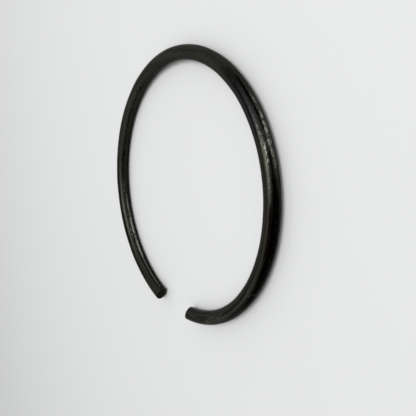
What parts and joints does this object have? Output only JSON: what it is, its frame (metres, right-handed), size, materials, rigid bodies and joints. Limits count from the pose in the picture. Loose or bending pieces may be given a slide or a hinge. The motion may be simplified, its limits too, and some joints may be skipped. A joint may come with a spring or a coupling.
{
  "type": "lock ring",
  "caption": "Open ring of round steel bar with a gap between its sheared ends; it springs into a groove and keeps another part from sliding off.",
  "frame": {"origin": "centre of the ring's long arc, halfway through the bar's thickness", "axes": "+Z is the ring's axis, up when it lies flat; the gap faces -Y and the tighter tail is on its +X side"},
  "size_m": [0.236, 0.233, 0.012],
  "materials": {
    "dark_steel": "dark oxide skin, lightly oiled, satin with lengthwise rubbed streaks"
  },
  "bodies": {
    "root": {"lock_ring": "dark_steel"}
  },
  "joints": []
}
